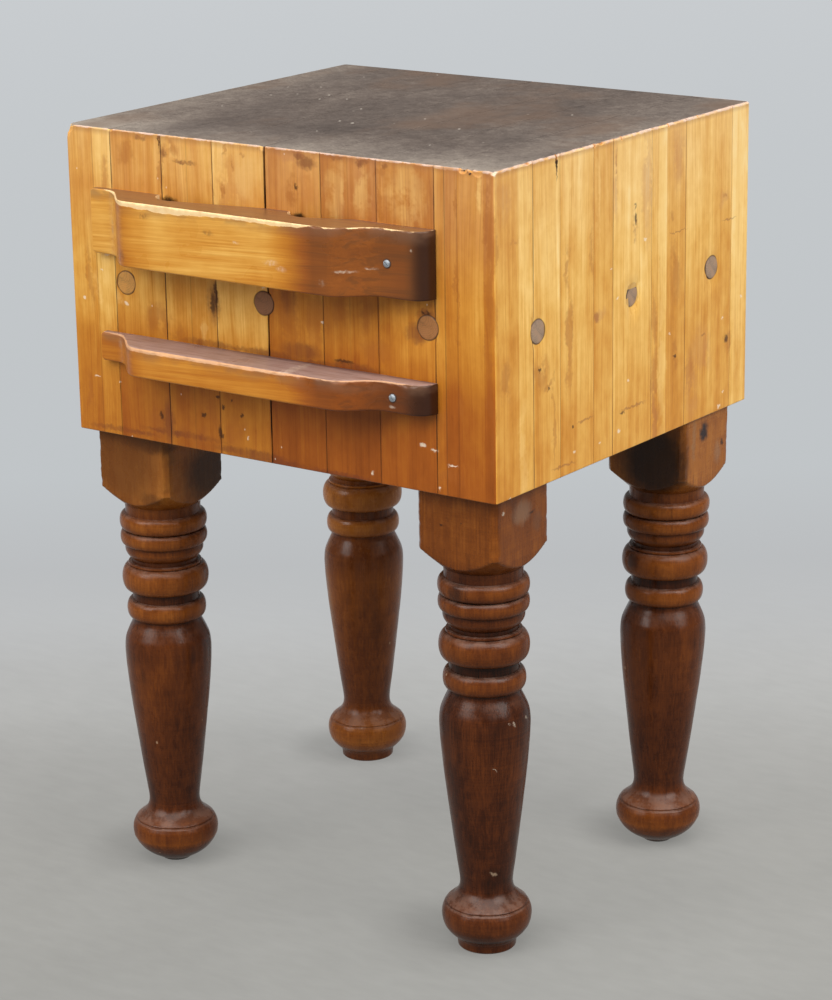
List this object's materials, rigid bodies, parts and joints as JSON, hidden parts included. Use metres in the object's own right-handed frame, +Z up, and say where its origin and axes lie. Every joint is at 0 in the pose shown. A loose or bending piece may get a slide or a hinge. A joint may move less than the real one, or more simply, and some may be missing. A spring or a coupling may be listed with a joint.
{
  "type": "butcher block table",
  "caption": "Square end-grain butcher block on turned legs, with a slotted knife rail and a plain rail across its front face.",
  "frame": {"origin": "on the floor, in the middle of the table's outer box", "axes": "+Z up; -Y towards the face that carries the two knife rails; +X to the right when that face is looked at"},
  "size_m": [0.56, 0.552, 0.862],
  "materials": {
    "stave_honey": "aged amber varnish on upright grain, satin",
    "stave_amber": "aged reddish amber varnish on upright grain, satin",
    "stave_pale": "aged pale honey varnish on upright grain, satin",
    "leg_varnish": "dark red-brown varnish, glossy, worn",
    "rail_varnish": "golden amber varnish, satin, bare along its worn front edge",
    "plug_end_grain": "grey-brown end grain, matt",
    "dowel_beech": "raw beech",
    "plain_steel": "plain steel, dull"
  },
  "bodies": {
    "root": {"block_left_stave_1": "stave_amber", "block_left_stave_2": "stave_pale", "block_left_stave_3": "stave_honey", "block_left_stave_4": "stave_amber", "block_left_stave_5": "stave_pale", "block_left_stave_6": "stave_honey", "block_right_stave_1": "stave_amber", "block_right_stave_2": "stave_pale", "block_right_stave_3": "stave_honey", "block_right_stave_4": "stave_amber", "block_right_stave_5": "stave_pale", "block_right_stave_6": "stave_honey", "block_right_stave_7": "stave_amber", "block_right_stave_8": "stave_pale", "block_slab_2": "stave_amber", "block_slab_3": "stave_pale", "block_slab_4": "stave_honey", "block_slab_5": "stave_amber", "block_slab_6": "stave_pale", "block_slab_7": "stave_honey", "knife_rail_lower": "rail_varnish", "knife_rail_upper": "rail_varnish", "leg_back_left": "leg_varnish", "leg_back_right": "leg_varnish", "leg_front_left": "leg_varnish", "leg_front_right": "leg_varnish", "plug_back_1": "plug_end_grain", "plug_back_2": "plug_end_grain", "plug_back_3": "plug_end_grain", "plug_front_1": "plug_end_grain", "plug_front_2": "plug_end_grain", "plug_front_3": "plug_end_grain", "plug_left_1": "plug_end_grain", "plug_left_2": "plug_end_grain", "plug_left_3": "plug_end_grain", "plug_right_1": "plug_end_grain", "plug_right_2": "plug_end_grain", "plug_right_3": "plug_end_grain", "rail_dowel_lower": "dowel_beech", "rail_dowel_upper": "dowel_beech", "rail_screw_lower": "plain_steel", "rail_screw_upper": "plain_steel", "rod_nut_back_1": "plain_steel", "rod_nut_back_2": "plain_steel", "rod_nut_back_3": "plain_steel", "rod_nut_front_1": "plain_steel", "rod_nut_front_2": "plain_steel", "rod_nut_front_3": "plain_steel", "rod_nut_left_1": "plain_steel", "rod_nut_left_2": "plain_steel", "rod_nut_left_3": "plain_steel", "rod_nut_right_1": "plain_steel", "rod_nut_right_2": "plain_steel", "rod_nut_right_3": "plain_steel", "tie_rod_cross_1": "plain_steel", "tie_rod_cross_2": "plain_steel", "tie_rod_cross_3": "plain_steel", "tie_rod_long_1": "plain_steel", "tie_rod_long_2": "plain_steel", "tie_rod_long_3": "plain_steel"}
  },
  "joints": []
}
